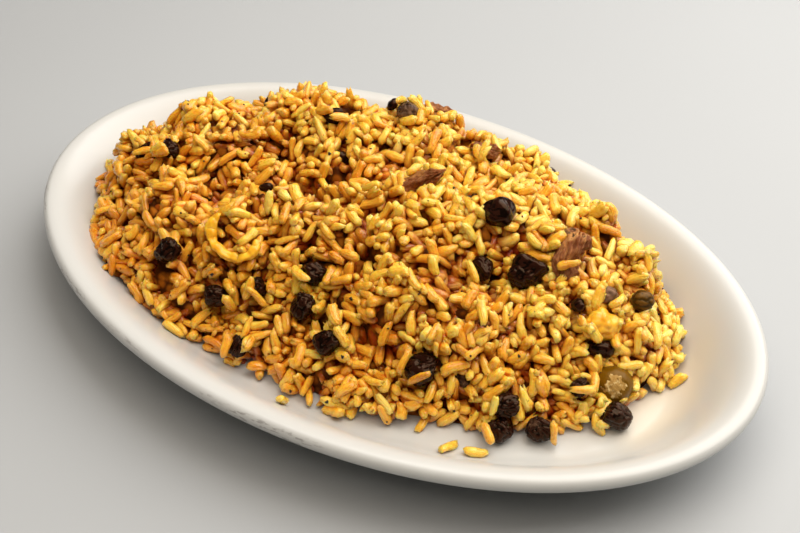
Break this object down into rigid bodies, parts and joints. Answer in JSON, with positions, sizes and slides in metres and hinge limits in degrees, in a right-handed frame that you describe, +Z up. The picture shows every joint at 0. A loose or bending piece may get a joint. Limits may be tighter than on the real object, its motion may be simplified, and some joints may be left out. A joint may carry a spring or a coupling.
{
  "type": "rice and beans plate",
  "caption": "Oval platter heaped with yellow rice, dark beans, bits of pork, an olive, a caper and onion; stands on a low foot ring.",
  "frame": {"origin": "on the surface the platter stands on, under the middle of the platter", "axes": "+X along the platter's length, +Y across it, +Z up"},
  "size_m": [0.26, 0.1668, 0.0547],
  "materials": {
    "glaze": "glossy warm white glaze, oily sheen beside the rice",
    "rice": "cooked yellow rice, moist and slightly glossy",
    "bean_skin": "dark purple-brown wrinkled bean skin, glossy",
    "pork": "red-brown fibrous cooked pork",
    "olive_skin": "olive green, waxy, torn tan patch",
    "caper_skin": "dark green, wrinkled",
    "onion_flesh": "soft cooked onion stained yellow",
    "squash_flesh": "soft yellow flesh with specks of pepper"
  },
  "bodies": {
    "root": {"bean_01": "bean_skin", "bean_02": "bean_skin", "bean_03": "bean_skin", "bean_04": "bean_skin", "bean_05": "bean_skin", "bean_06": "bean_skin", "bean_07": "bean_skin", "bean_08": "bean_skin", "bean_09": "bean_skin", "bean_10": "bean_skin", "bean_11": "bean_skin", "bean_12": "bean_skin", "bean_13": "bean_skin", "bean_14": "bean_skin", "bean_15": "bean_skin", "bean_16": "bean_skin", "bean_17": "bean_skin", "bean_18": "bean_skin", "bean_19": "bean_skin", "bean_20": "bean_skin", "bean_21": "bean_skin", "bean_22": "bean_skin", "bean_23": "bean_skin", "bean_24": "bean_skin", "caper": "caper_skin", "olive": "olive_skin", "onion_ring": "onion_flesh", "platter": "glaze", "pork_1": "pork", "pork_2": "pork", "pork_3": "pork", "pork_4": "pork", "rice_heap": "rice", "squash_lump": "squash_flesh"}
  },
  "joints": []
}
